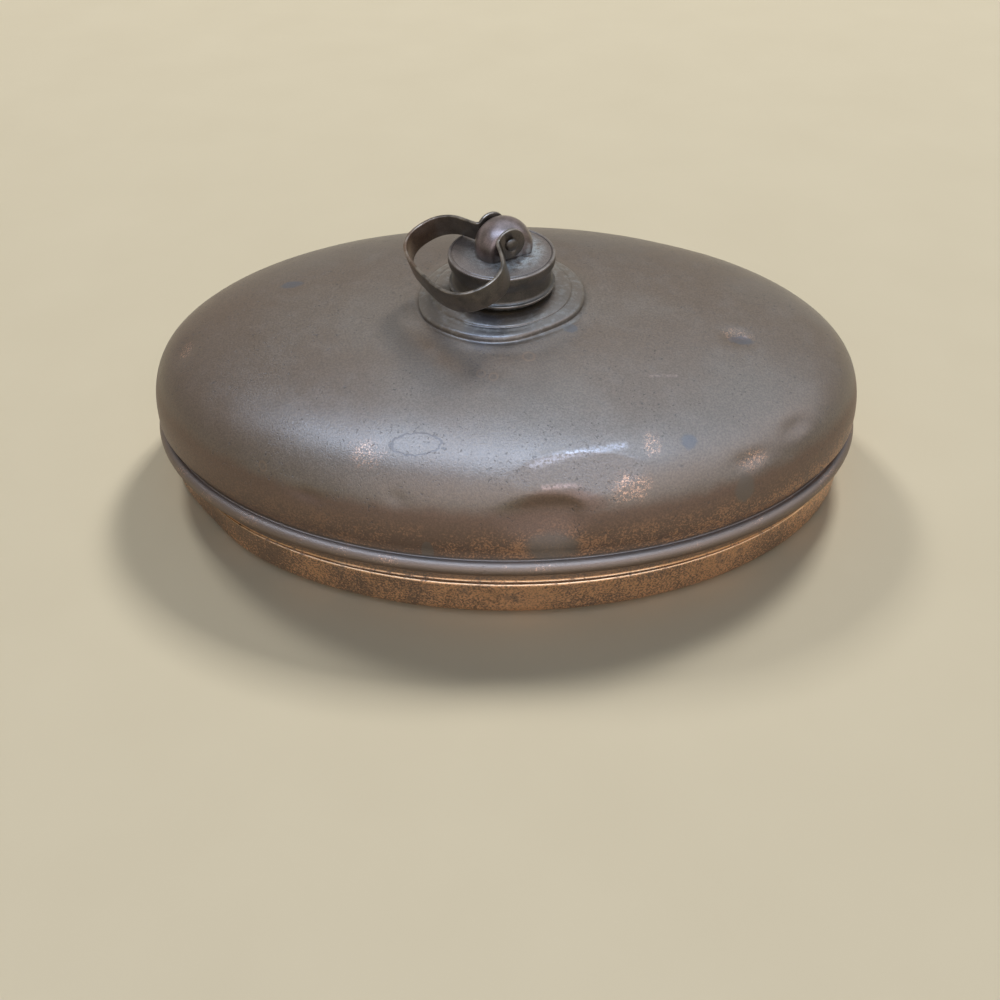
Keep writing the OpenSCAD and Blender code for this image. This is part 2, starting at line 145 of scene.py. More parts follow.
# Cap
CAP_RADIUS = 21.6
WAIST_RADIUS = 19.9
CAP_BORE = 16.9
CAP_PLATE = 2.2
BORE_CHAMFER = 0.4
LIP_HEIGHT = 2.3
LIP_DROP = 5.6
RIM_HEIGHT = 1.0
RIM_EDGE = 0.25
FLANGE_EDGE = 0.6
FLANGE_GROOVE_INSET = 1.5
FLANGE_GROOVE_WIDTH = 0.9
FLANGE_GROOVE_DEPTH = 0.3
RIVET_HOLE = 3.1
THREAD_PITCH = 2.4
THREAD_LOW = SKIRT_BOTTOM + 1.0
THREAD_HIGH = CAP_TOP - CAP_PLATE - 3.2
THREAD_DEPTH = 1.2
THREAD_ROOT = 0.4
THREAD_FOOT_WIDTH = 1.6
THREAD_TIP_WIDTH = 0.48

# Boss and pin
BOSS_RADIUS = 11.6
BOSS_RISE = 2.5
BOSS_HALF_WIDTH = 7.0
BOSS_EDGE = 3.0
BOSS_ASIDE = 0.9
SPIGOT_RADIUS = 3.0
RIVET_RISE = 1.1
PIN_HEIGHT = 7.4
PIN_ASIDE = 0.4
PIN_LEVEL = CAP_TOP + PIN_HEIGHT
PIN_RADIUS = 1.5
PIN_PLAY = 0.1
PIN_HEAD_RADIUS = 2.6
PIN_HEAD_EDGE = 0.4
PIN_HEAD_DOME = 1.2

# Bail. The handles shape its curves.
EYE_MIDDLE = 7.9
EYE_RADIUS = 6.2
EYE_PLAY = 0.08
EYE_DRILL = 20
STRAP_THICKNESS = 1.4
STRAP_WIDTH = 9.3
STRAP_CORNER = 0.45
STRAP_WAVER = 0.12
STRAP_WAVER_SIZE = 7
TAB_LENGTH = 3.5
LOOP_REACH = 35.6
LOOP_SIDE = 27.4
LOOP_MIDDLE = 20.8
TAB_HANDLE = 4.5
ARM_HANDLE = 15.2
BOW_HANDLE = 14.9
BOW_FULLNESS = 0.39
BAIL_DIRECTION = math.radians(210.6)
BAIL_DROOP = math.radians(17.23)

# Fineness of the meshes
AROUND = 540
DOME_STEPS, OUTER_ROLL_STEPS, INNER_ROLL_STEPS = 110, 16, 18
HIDDEN_DOME_STEPS, HIDDEN_ROLL_STEPS = 34, 8
RING_CROWDING = 2.1
THREAD_STEPS = 72
THREAD_FADE = 12
AXIS_GAP = 0.05


# Meshes


def smoothstep(low, high, value):
    """0 at low, 1 at high, with a soft change between them."""
    share = np.clip((value - low) / (high - low), 0, 1)
    return share * share * (3 - 2 * share)


def bell(value, middle, width):
    """1 at the middle, falling softly to 0 on both sides of it."""
    return np.exp(-((value - middle) / width) ** 2)


def arc(middle, radius, start, end, count):
    """Points along an arc between two directions in degrees."""
    turns = np.radians(np.linspace(start, end, count))
    return [(middle[0] + radius * math.cos(turn), middle[1] + radius * math.sin(turn))
            for turn in turns]


def make_object(name, points, faces, sharp_angle=None):
    """A smooth-shaded mesh object from points in millimetres, with its faces turned outward."""
    mesh = bpy.data.meshes.new(name)
    mesh.from_pydata([tuple(point) for point in np.asarray(points) * MM], [], faces)
    work = bmesh.new()
    work.from_mesh(mesh)
    bmesh.ops.recalc_face_normals(work, faces=work.faces)
    work.to_mesh(mesh)
    work.free()
    mesh.shade_smooth()
    if sharp_angle:
        mesh.set_sharp_from_angle(angle=math.radians(sharp_angle))
    piece = bpy.data.objects.new(name, mesh)
    bpy.context.scene.collection.objects.link(piece)
    return piece


def ring_faces(rings, around, closed):
    """Quads between rings of points that follow each other."""
    faces = []
    for k in range(rings if closed else rings - 1):
        here, there = k * around, (k + 1) % rings * around
        for i in range(around):
            j = (i + 1) % around
            faces.append((here + i, there + i, there + j, here + j))
    return faces


def ring_object(name, rings, closed=True, sharp_angle=None):
    """A solid from rings of points, closed in itself or by a flat face at each end."""
    count, around = len(rings), len(rings[0])
    faces = ring_faces(count, around, closed)
    if not closed:
        faces.append(tuple(range(around)))
        faces.append(tuple(range((count - 1) * around, count * around)))
    return make_object(name, np.concatenate(rings), faces, sharp_angle)


def add_weight(piece, name, values):
    """Keeps one number for each point of a piece, which its material reads by name."""
    layer = piece.data.attributes.new(name, "FLOAT", "POINT")
    layer.data.foreach_set("value", np.asarray(values, np.float32))


def turned(profile, around=160):
    """Rings from a profile of (radius, height) turned about the vertical axis."""
    turns = np.linspace(0, 2 * math.pi, around, endpoint=False)
    return [np.stack([radius * np.cos(turns), radius * np.sin(turns),
                      np.full(around, height)], 1) for radius, height in profile]


# Shells


TURNS = np.linspace(0, 2 * math.pi, AROUND, endpoint=False)
COS, SIN = np.cos(TURNS), np.sin(TURNS)


def oval(half_length, half_width, height):
    """A level oval ring round the vertical axis."""
    return np.stack([half_length * COS, half_width * SIN, np.full(AROUND, float(height))], 1)


def rim(inset, height):
    """A ring that stands in from the bead's outer edge by the same distance all round."""
    out = np.stack([HALF_WIDTH * COS, HALF_LENGTH * SIN], 1)
    out /= np.linalg.norm(out, axis=1)[:, None]
    ring = oval(HALF_LENGTH, HALF_WIDTH, height)
    ring[:, :2] -= out * np.reshape(inset, (-1, 1))
    return ring


def dome_ring(share, skin):
    """A ring of the dome between the collar's foot, at share 0, and the wall, at share 1."""
    end = HALF_LENGTH - END_INSET - skin
    side = HALF_WIDTH - SIDE_INSET - skin
    end_share = 1 - (1 - share) ** END_FULLNESS
    height = (WALL_TOP + (SHOULDER_RISE - skin) * math.sqrt(1 - share ** SHOULDER_POWER)
              + CROWN_RISE * (1 - share * share))
    return oval(COLLAR_RADIUS + (end - COLLAR_RADIUS) * end_share,
                COLLAR_RADIUS + (side - COLLAR_RADIUS) * share, height)


def dome_rings(steps, skin=0.0):
    """The dome from the wall up, with its rings closer together near the wall."""
    return [dome_ring(1 - (k / steps) ** RING_CROWDING, skin) for k in range(steps + 1)]


def curl(radius, turn):
    """A ring of the bead's curl, where turn 0 faces outward and turn 90 faces up."""
    turn = math.radians(turn)
    return rim(BEAD_RADIUS - radius * math.cos(turn), BEAD_HEIGHT + radius * math.sin(turn))


def roll(foot, top, low, rise, roundness, steps, skin):
    """One convex roll of the collar, from its foot in to its top."""
    rings = []
    for turn in np.linspace(0, math.pi / 2, steps + 1)[1:]:
        radius = top + (foot - top) * math.cos(turn) ** roundness - skin * ROLL_LEAN
        rings.append(oval(radius, radius, low + rise * math.sin(turn) ** roundness - skin))
    return rings


def outer_roll(steps, skin=0.0):
    return roll(COLLAR_RADIUS, GROOVE_RADIUS, DOME_TOP, GROOVE_RISE, OUTER_ROUNDNESS, steps, skin)


def inner_roll(steps, skin=0.0):
    low = DOME_TOP + GROOVE_RISE
    rise = COLLAR_TOP - low
    return roll(GROOVE_RADIUS, LAND_RADIUS, low, rise, INNER_ROUNDNESS, steps, skin)


def dent(points, middle, reach, push):
    """Pushes points near a middle along push."""
    far = np.sum(((points - np.array(middle)) / reach) ** 2, axis=1)
    return points + np.exp(-far)[:, None] * np.array(push)


def front_dent(points, skin):
    """The large dent: a flat facet in the shoulder with a raised lip, and a hollow under it."""
    x, y, z = points.T
    facet = (FACET_PLACE[1] + FACET_SLOPE * (z - FACET_PLACE[2])
             + FACET_TURN * (x - FACET_PLACE[0]) + skin)
    lip = bell(y, facet + LIP_OFFSET, LIP_WIDTH) * smoothstep(*LIP_LOW_FADE, z)
    lip *= smoothstep(*LIP_LEFT_FADE, x) * smoothstep(*LIP_RIGHT_FADE, x) * (y < 0)
    y = y - LIP_RISE * lip + FACET_SOFTNESS * np.logaddexp(0, (facet - y) / FACET_SOFTNESS)

    # The hollow is wider on its left, slopes down from its top and ends over the bead
    aside = x - HOLLOW_PLACE[0]
    aside = aside / np.where(aside < 0, HOLLOW_LEFT, HOLLOW_RIGHT)
    low = np.hypot(np.maximum(HOLLOW_TOP - z, 0), HOLLOW_ROUNDING) - HOLLOW_ROUNDING
    bowl = HOLLOW_BOWL * (np.sqrt(1 + (HOLLOW_CURVE * aside) ** 2) - 1)
    hollow = HOLLOW_PLACE[1] - bowl - HOLLOW_SLOPE * low + skin
    hollow -= HOLLOW_CLEARANCE * (1 - smoothstep(*HOLLOW_LOW_FADE, z))
    y = y + HOLLOW_SOFTNESS * np.logaddexp(0, (hollow - y) / HOLLOW_SOFTNESS)
    return np.stack([x, y, z], 1)


def waver(points, size, height, seed):
    """Moves points along Z and outward by smooth noise, as hand-worked sheet does."""
    aside = Vector((seed, 0, 0))
    shifts = np.array([noise.noise(Vector(point / size) + aside) for point in points])
    out = points * (1, 1, 0)
    out /= np.maximum(np.linalg.norm(out, axis=1), 1)[:, None]
    return points + shifts[:, None] * height * (out + (0, 0, 1))


def worn_dome(points, skin):
    """The dents and crumples of the upper shell. Skin is each point's depth inside the sheet."""
    points = front_dent(points, skin)
    for middle, reach, push in SMALL_DENTS:
        points = dent(points, middle, reach, push)
    points = waver(points, size=70, height=0.4, seed=3)
    points = waver(points, size=21, height=0.06, seed=9)
    angle = np.degrees(np.arctan2(points[:, 1], points[:, 0])) % 360
    radius = np.hypot(points[:, 0], points[:, 1])

    # The collar's foot and its groove run softly into the sheet beside them
    points[:, 2] += FOOT_BLEND * bell(radius, *FOOT_BLEND_RADIUS)
    points[:, 2] += GROOVE_BLEND * bell(radius, *GROOVE_BLEND_RADIUS)

    # The collar is crumpled on the left and pressed in at the front right
    left = bell(angle, *CRUMPLE_TURN)
    spread = left * bell(radius, *CRUMPLE_RADIUS)
    points[:, 2] -= CRUMPLE_DROP * spread
    points[:, 0] -= CRUMPLE_SPREAD * spread
    points[:, 2] += CRUMPLE_LIP * left * bell(radius, *CRUMPLE_LIP_RADIUS)
    pressed = bell(angle, *PRESSED_TURN) * bell(radius, *PRESSED_RADIUS)
    points[:, :2] *= (1 - PRESSED_DEPTH * pressed / np.maximum(radius, 1))[:, None]
    return points


def make_upper_shell():
    """The dome, its collar and the bead as one sheet: up the outside, then down the inside."""
    outside = [curl(BEAD_RADIUS, turn) for turn in range(CURL_START, CURL_END + 1, 10)]
    outside += [rim(CREASE_INSET - 0.3, CREASE_HEIGHT - 0.55), rim(CREASE_INSET, CREASE_HEIGHT)]
    outside += dome_rings(DOME_STEPS)
    outside += outer_roll(OUTER_ROLL_STEPS) + inner_roll(INNER_ROLL_STEPS)
    outside.append(oval(NECK_HOLE, NECK_HOLE, COLLAR_TOP))
    inside = [oval(NECK_HOLE, NECK_HOLE, COLLAR_TOP - SHEET)]
    inside += inner_roll(HIDDEN_ROLL_STEPS, SHEET)[::-1]
    inside += outer_roll(HIDDEN_ROLL_STEPS, SHEET)[::-1]
    inside += dome_rings(HIDDEN_DOME_STEPS, SHEET)[::-1]
    inside += [rim(CREASE_INSET + SHEET, CREASE_HEIGHT - 0.2),
               rim(BEAD_RADIUS + 0.8 + SHEET, BEAD_HEIGHT + BEAD_RADIUS - 0.6 * SHEET)]
    inside += [curl(BEAD_RADIUS - SHEET, turn) for turn in range(CURL_END, CURL_START - 1, -30)]
    rings = outside + inside
    skin = np.repeat([0] * len(outside) + [SHEET] * len(inside), AROUND)
    points = worn_dome(np.concatenate(rings), skin)
    return ring_object("copper_dome", np.split(points, len(rings)))


def make_lower_shell():
    """The pan, whose lap stands inside the bead."""
    wall = LOWER_SIDE_INSET + (LOWER_END_INSET - LOWER_SIDE_INSET) * COS ** 2

    def ring(share, skin, height):
        """A ring in the wall at share 0 and in the lap under the bead at share 1."""
        return rim(wall * (1 - share) + LAP_INSET * share + skin, height)

    def foot(skin, count):
        corner = arc((FOOT_RADIUS, FOOT_RADIUS), FOOT_RADIUS - skin, -90, -180, count)
        return [ring(0, inset, height) for inset, height in corner]

    outside = foot(0, 10)
    outside += [ring(0, 0, height)
                for height in np.linspace(FOOT_RADIUS + 1, LEDGE_HEIGHT - 1.4, 8)]
    outside += [ring(share, inset, LEDGE_HEIGHT + rise) for share, inset, rise in LEDGE_STEPS]
    outside.append(ring(1, 0, LAP_TOP))
    inside = [ring(1, SHEET, LAP_TOP), ring(1, SHEET, LEDGE_HEIGHT - 0.4),
              ring(0.5, 0.4 * SHEET, LEDGE_HEIGHT - SHEET),
              ring(0, SHEET, LEDGE_HEIGHT - 1.8)] + foot(SHEET, 6)[::-1]
    rings = outside + inside
    points = np.concatenate(rings)
    flat = points[:, 2] < FLAT_HEIGHT
    points = np.where(flat[:, None], points, waver(points, size=45, height=0.3, seed=5))
    points = dent(points, *BASE_DENT)
    return ring_object("copper_base", np.split(points, len(rings)), closed=False, sharp_angle=50)


# Cap, boss, pin and bail


def make_cap():
    rim_top = SKIRT_BOTTOM + RIM_HEIGHT
    rim_radius = CAP_RADIUS - RIM_EDGE
    cove = rim_radius - WAIST_RADIUS
    lip_low = CAP_TOP - LIP_HEIGHT
    groove = CAP_RADIUS - FLANGE_GROOVE_INSET
    plate_bottom = CAP_TOP - CAP_PLATE
    profile = [(CAP_BORE + BORE_CHAMFER, SKIRT_BOTTOM)]
    profile += arc((rim_radius, SKIRT_BOTTOM + RIM_EDGE), RIM_EDGE, -90, 0, 9)
    profile += arc((rim_radius, rim_top - RIM_EDGE), RIM_EDGE, 0, 90, 9)
    profile += arc((rim_radius, rim_top + cove), cove, -90, -180, 9)
    profile += [(WAIST_RADIUS + (CAP_RADIUS - WAIST_RADIUS) * (1 - math.cos(math.pi * share)) / 2,
                 lip_low - LIP_DROP * (1 - share)) for share in np.linspace(0, 1, 16)]
    profile += arc((CAP_RADIUS - FLANGE_EDGE, CAP_TOP - FLANGE_EDGE), FLANGE_EDGE, 0, 90, 9)
    profile += [(groove - FLANGE_GROOVE_WIDTH / 2 * step,
                 CAP_TOP - FLANGE_GROOVE_DEPTH / 2 * (1 + math.cos(math.pi * step)))
                for step in np.linspace(-1, 1, 9)]
    profile += [(RIVET_HOLE, CAP_TOP), (RIVET_HOLE, plate_bottom), (CAP_BORE, plate_bottom),
                (CAP_BORE, SKIRT_BOTTOM + BORE_CHAMFER)]
    rings = turned(profile)
    piece = ring_object("screw_cap", rings, sharp_angle=40)

    # The flange's lip and both edges of the rim are worn
    worn = []
    for radius, height in profile:
        lip = bell(radius, CAP_RADIUS - 0.5, 0.35) * (height > CAP_TOP - 0.5)
        low = bell(height, SKIRT_BOTTOM + 0.05, 0.2)
        high = bell(height, rim_top - 0.15, 0.2)
        worn.append(min(1, lip + (low + high) * (radius > WAIST_RADIUS + 1)))
    add_weight(piece, "worn", np.repeat(worn, len(rings[0])))
    return piece


def make_cap_thread():
    """The ridge inside the cap, which climbs round its axis and thins out at both ends."""
    count = int(THREAD_STEPS * (THREAD_HIGH - THREAD_LOW) / THREAD_PITCH)
    back = CAP_BORE + THREAD_ROOT
    foot, top = THREAD_FOOT_WIDTH / 2, THREAD_TIP_WIDTH / 2
    rings = []
    for k in range(count + 1):
        turn = 2 * math.pi * k / THREAD_STEPS
        full = min(1, (k + 0.3) / THREAD_FADE, (count - k + 0.3) / THREAD_FADE)
        tip = CAP_BORE - THREAD_DEPTH * full
        height = THREAD_LOW + THREAD_PITCH * k / THREAD_STEPS
        section = [(back, -foot), (tip, -top), (tip, top), (back, foot)]
        rings.append(np.array([(radius * math.cos(turn), radius * math.sin(turn), height + rise)
                               for radius, rise in section]))
    return ring_object("cap_thread", rings, closed=False, sharp_angle=30)


def to_pin(points):
    """Places points at the pin, with the bail lying along +X and the pin along Y."""
    turn = np.array(Matrix.Rotation(BAIL_DIRECTION, 3, "Z"))
    return (np.asarray(points) + (PIN_ASIDE, 0, 0)) @ turn.T + (0, 0, PIN_LEVEL)


def cross_rings(profile, around):
    """Rings from a profile of (radius, place along Y) turned about the Y axis."""
    swap = np.array(((1, 0, 0), (0, 0, 1), (0, -1, 0)))
    return [ring @ swap.T for ring in turned(profile, around)]


def cut_off_below(piece, level):
    """Cuts a piece off at a level, with a flat face there."""
    work = bmesh.new()
    work.from_mesh(piece.data)
    everything = work.verts[:] + work.edges[:] + work.faces[:]
    cut = bmesh.ops.bisect_plane(work, geom=everything, plane_co=(0, 0, level * MM),
                                 plane_no=(0, 0, 1), clear_inner=True)
    edges = [item for item in cut["geom_cut"] if isinstance(item, bmesh.types.BMEdge)]
    bmesh.ops.contextual_create(work, geom=edges)
    work.to_mesh(piece.data)
    work.free()


def make_boss():
    """A ball with a rounded flat each side, cut off at the cap's flange."""
    side = BOSS_HALF_WIDTH - BOSS_EDGE
    flat = math.sqrt((BOSS_RADIUS - BOSS_EDGE) ** 2 - side ** 2)
    edge_turn = math.degrees(math.atan2(side, flat))
    half = [(AXIS_GAP, BOSS_HALF_WIDTH), (flat / 2, BOSS_HALF_WIDTH)]
    half += arc((flat, side), BOSS_EDGE, 90, edge_turn, 14)
    half += arc((0, 0), BOSS_RADIUS, edge_turn, 0, 10)[1:]
    profile = half + [(radius, -along) for radius, along in half[-2::-1]]
    middle = np.array((-PIN_ASIDE - BOSS_ASIDE, 0, BOSS_RISE - PIN_HEIGHT))
    rings = [to_pin(ring + middle) for ring in cross_rings(profile, 200)]
    piece = ring_object("bail_knob", rings, closed=False)
    cut_off_below(piece, CAP_TOP)
    return piece


def make_spigot():
    """The knob's shank through the cap, with its rivet head below."""
    shoulder = CAP_TOP - CAP_PLATE
    bottom = shoulder - RIVET_RISE
    profile = [(AXIS_GAP, bottom), (SPIGOT_RADIUS, bottom), (SPIGOT_RADIUS + 1.1, bottom + 0.4),
               (SPIGOT_RADIUS + 1.5, shoulder), (SPIGOT_RADIUS, shoulder),
               (SPIGOT_RADIUS, CAP_TOP), (AXIS_GAP, CAP_TOP)]
    return ring_object("knob_spigot", turned(profile, 64), closed=False, sharp_angle=40)


def make_pin():
    """A pin along Y with a peened head at each end, as one turned piece."""
    inner = EYE_MIDDLE + STRAP_THICKNESS / 2 + PIN_PLAY
    half = [(max(PIN_HEAD_RADIUS * math.cos(turn), 0.02),
             inner + PIN_HEAD_EDGE + PIN_HEAD_DOME * math.sin(turn))
            for turn in np.linspace(math.pi / 2, 0, 10)]
    half += [(PIN_HEAD_RADIUS - 0.1, inner), (PIN_RADIUS, inner), (PIN_RADIUS, inner - 2)]
    profile = half + [(radius, -along) for radius, along in reversed(half)]
    rings = [to_pin(ring) for ring in cross_rings(profile, 48)]
    return ring_object("pivot_pin", rings, closed=False, sharp_angle=60)


def bezier(points, count):
    """Places and directions along one cubic curve."""
    a, b, c, d = (np.array(point, float) for point in points)
    t = np.linspace(0, 1, count)[:, None]
    place = (1 - t) ** 3 * a + 3 * t * (1 - t) ** 2 * b + 3 * t * t * (1 - t) * c + t ** 3 * d
    way = (1 - t) ** 2 * (b - a) + 2 * t * (1 - t) * (c - b) + t * t * (d - c)
    return place, way / np.linalg.norm(way, axis=1)[:, None]


def strap_line():
    """The strap's middle line in its own plane, from one eye round the loop to the other."""
    tab = [(along, EYE_MIDDLE) for along in np.linspace(-EYE_RADIUS, TAB_LENGTH - 0.2, 22)]
    tab_ways = [(1.0, 0.0)] * len(tab)
    arm = bezier([(TAB_LENGTH, EYE_MIDDLE), (TAB_LENGTH + TAB_HANDLE, EYE_MIDDLE),
                  (LOOP_MIDDLE - ARM_HANDLE, LOOP_SIDE), (LOOP_MIDDLE, LOOP_SIDE)], 34)
    bow = bezier([(LOOP_MIDDLE, LOOP_SIDE), (LOOP_MIDDLE + BOW_HANDLE, LOOP_SIDE),
                  (LOOP_REACH, LOOP_SIDE * BOW_FULLNESS), (LOOP_REACH, 0)], 34)
    places = np.concatenate([tab, arm[0], bow[0][1:]])
    ways = np.concatenate([tab_ways, arm[1], bow[1][1:]])
    back = places[-2::-1] * (1, -1)
    back_ways = ways[-2::-1] * (-1, 1)
    return np.concatenate([places, back]), np.concatenate([ways, back_ways])


def strap_section(half, wide):
    """A rectangle round the middle with rounded corners."""
    corner = min(STRAP_CORNER, wide * 0.8)
    line = []
    for k, (x, y) in enumerate([(-1, -1), (1, -1), (1, 1), (-1, 1)]):
        middle = (x * (half - corner), y * (wide - corner))
        line += arc(middle, corner, 180 + 90 * k, 270 + 90 * k, 5)
    return line


def make_bail():
    places, ways = strap_line()
    step = np.linalg.norm(np.diff(places, axis=0), axis=1)
    along = np.concatenate([[0], np.cumsum(step)])
    along = np.minimum(along, along[-1] - along) - EYE_RADIUS

    # The strap is as wide as the round eye at each end, whose very tip keeps a little width
    eye = np.sqrt(np.maximum(EYE_RADIUS ** 2 - along ** 2, 0.02))
    strap = np.where(along < EYE_RADIUS, np.maximum(STRAP_WIDTH / 2, eye), STRAP_WIDTH / 2)
    half_width = np.where(along < 0, eye, strap)
    rings, worn = [], []
    for place, way, wide, length in zip(places, ways, half_width, along):
        out = np.array([-way[1], way[0]])
        # The two arms waver apart from each other
        arm = 4 * math.copysign(1, place[1])
        wobble = STRAP_WAVER * noise.noise(Vector((length / STRAP_WAVER_SIZE, arm, 0)))
        section = strap_section(STRAP_THICKNESS / 2, wide)
        rings.append(np.array([(*(place + out * u), v + wobble) for u, v in section]))
        worn += [float(smoothstep(wide - 0.55, wide - 0.1, abs(v))) for u, v in section]
    droop = np.array(Matrix.Rotation(BAIL_DROOP, 3, "Y"))
    rings = [to_pin(ring @ droop.T) for ring in rings]
    piece = ring_object("bail_strap", rings, closed=False, sharp_angle=50)
    add_weight(piece, "worn", worn)
    drill_eyes(piece)
    return piece


def drill_eyes(piece):
    """Cuts the hole for the pin through both eyes."""
    radius = PIN_RADIUS + EYE_PLAY
    rings = cross_rings([(radius, -EYE_DRILL), (radius, EYE_DRILL)], 40)
    drill = ring_object("drill", [to_pin(ring) for ring in rings], closed=False)
    cut = piece.modifiers.new("eyes", "BOOLEAN")
    cut.operation = "DIFFERENCE"
    cut.object = drill
    cut.solver = "EXACT"
    bpy.context.view_layer.objects.active = piece
    with bpy.context.temp_override(object=piece, active_object=piece):
        bpy.ops.object.modifier_apply(modifier=cut.name)
    bpy.data.objects.remove(drill)


# Materials


class Shader:
    """Builds one procedural material. Places are the piece's own, in millimetres.

    A mix node's colours are its inputs 6 and 7 and its output 2, and its numbers are its
    inputs 2 and 3 and its output 0.
    """

    def __init__(self, name):
        self.material = bpy.data.materials.new(name)
        self.material.use_nodes = True
        self.tree = self.material.node_tree
        self.surface = self.tree.nodes["Principled BSDF"]
        place = self.tree.nodes.new("ShaderNodeTexCoord").outputs["Object"]
        self.place = self.vector("SCALE", place, scale=1 / MM)
        parts = self.tree.nodes.new("ShaderNodeSeparateXYZ")
        self.join(self.place, parts.inputs[0])
        self.x, self.y, self.z = parts.outputs

    def join(self, value, socket):
        """Links an output to a socket, or sets the socket to a plain value."""
        if isinstance(value, bpy.types.NodeSocket):
            self.tree.links.new(value, socket)
        else:
            socket.default_value = value

    def vector(self, operation, a, b=None, scale=None):
        node = self.tree.nodes.new("ShaderNodeVectorMath")
        node.operation = operation
        self.join(a, node.inputs[0])
        if b is not None:
            self.join(b, node.inputs[1])
        if scale is not None:
            self.join(scale, node.inputs["Scale"])
        return node.outputs["Value" if operation in ("LENGTH", "DOT_PRODUCT") else "Vector"]

    def math(self, operation, a, b=0.0, clamp=False):
        node = self.tree.nodes.new("ShaderNodeMath")
        node.operation = operation
        node.use_clamp = clamp
        self.join(a, node.inputs[0])
        self.join(b, node.inputs[1])
        return node.outputs[0]

    def times(self, *values):
        result = values[0]
        for value in values[1:]:
            result = self.math("MULTIPLY", result, value)
        return result

    def most(self, *values):
        result = values[0]
        for value in values[1:]:
            result = self.math("MAXIMUM", result, value)
        return result

    def mix(self, share, a, b):
        """Colour a, turning to b as share goes to 1."""
        node = self.tree.nodes.new("ShaderNodeMix")
        node.data_type = "RGBA"
        self.join(share, node.inputs["Factor"])
        self.join((*a, 1) if isinstance(a, tuple) else a, node.inputs[6])
        self.join((*b, 1) if isinstance(b, tuple) else b, node.inputs[7])
        return node.outputs[2]

    def blend(self, share, a, b):
        """Number a, turning to b as share goes to 1."""
        node = self.tree.nodes.new("ShaderNodeMix")
        self.join(share, node.inputs["Factor"])
        self.join(a, node.inputs[2])
        self.join(b, node.inputs[3])
        return node.outputs[0]

    def noise(self, size, detail=2.0, roughness=0.5, distortion=0.0):
        """Smooth noise from 0 to 1 with features about size millimetres across."""
        node = self.tree.nodes.new("ShaderNodeTexNoise")
        self.join(self.place, node.inputs["Vector"])
        node.inputs["Scale"].default_value = 1 / size
        node.inputs["Detail"].default_value = detail
        node.inputs["Roughness"].default_value = roughness
        node.inputs["Distortion"].default_value = distortion
        return node.outputs[0]

    def vary(self, value, cloud, amount):
        """A value moved up and down by noise that goes from 0 to 1."""
        return self.math("ADD", value, self.times(self.math("SUBTRACT", cloud, 0.5), amount))

    def grain(self, color, grain, strength):
        """A colour made darker and lighter by fine noise."""
        light = self.blend(self.step(grain, 0.30, 0.70), 1 - strength, 1 + strength)
        return self.vector("SCALE", color, scale=light)

    def step(self, value, low, high):
        """0 below low, 1 above high, soft between them. A low above the high turns it round."""
        node = self.tree.nodes.new("ShaderNodeMapRange")
        node.interpolation_type = "SMOOTHSTEP"
        self.join(value, node.inputs["Value"])
        flipped = low > high
        node.inputs["From Min"].default_value = min(low, high)
        node.inputs["From Max"].default_value = max(low, high)
        node.inputs["To Min"].default_value = 1.0 if flipped else 0.0
        node.inputs["To Max"].default_value = 0.0 if flipped else 1.0
        return node.outputs["Result"]

    def band(self, value, middle, outer, inner):
        """1 nearer than inner to a middle value, 0 farther from it than outer."""
        off = self.math("ABSOLUTE", self.math("SUBTRACT", value, middle))
        return self.step(off, outer, inner)

    def around(self, middle, reach, ragged, size):
        """Distance from a middle in shares of the reach along each axis, with a ragged edge."""
        away = self.vector("SUBTRACT", self.place, middle)
        far = self.vector("LENGTH", self.vector("DIVIDE", away, reach))
        return self.vary(far, self.noise(size, 3), ragged)

    def spot(self, middle, reach, ragged, size, soft=0.5):
        """1 inside a spot and 0 outside it."""
        return self.step(self.around(middle, reach, ragged, size), 1 + soft / 2, 1 - soft / 2)

    def ring(self, middle, reach, width, ragged=0.3, size=5.0):
        """1 on a closed line round a middle."""
        return self.band(self.around(middle, reach, ragged, size), 1.0, width, width * 0.35)

    def line(self, start, end, width):
        """1 along a straight mark from start to end and 0 away from it."""
        way = Vector(end) - Vector(start)
        away = self.vector("SUBTRACT", self.place, start)
        along = self.vector("DOT_PRODUCT", away, tuple(way))
        share = self.math("MULTIPLY", along, 1 / way.length_squared, clamp=True)
        nearest = self.vector("SCALE", tuple(way), scale=share)
        off = self.vector("LENGTH", self.vector("SUBTRACT", away, nearest))
        return self.step(off, width, 0.0)

    def weight(self, name):
        """The numbers that add_weight kept under a name."""
        node = self.tree.nodes.new("ShaderNodeAttribute")
        node.attribute_name = name
        return node.outputs["Fac"]

    def bump(self, height, distance, strength, before=None):
        node = self.tree.nodes.new("ShaderNodeBump")
        node.inputs["Strength"].default_value = strength
        node.inputs["Distance"].default_value = distance * MM
        self.join(height, node.inputs["Height"])
        if before is not None:
            self.join(before, node.inputs["Normal"])
        return node.outputs["Normal"]

    def finish(self, color, roughness, metallic, normal=None, ior=1.5):
        """Sets the surface and returns the material."""
        self.join(color, self.surface.inputs["Base Color"])
        self.join(roughness, self.surface.inputs["Roughness"])
        self.join(metallic, self.surface.inputs["Metallic"])
        self.surface.inputs["IOR"].default_value = ior
        if normal is not None:
            self.join(normal, self.surface.inputs["Normal"])
        return self.material


def dress(piece, material):
    """Gives a piece or a carried-over node its material."""
    piece.data.materials.clear()
    piece.data.materials.append(material)


# Colours of more than one piece
BARE_COPPER = (0.72, 0.45, 0.32)
NEARLY_BLACK = (0.030, 0.024, 0.020)
DUST = (0.36, 0.38, 0.38)

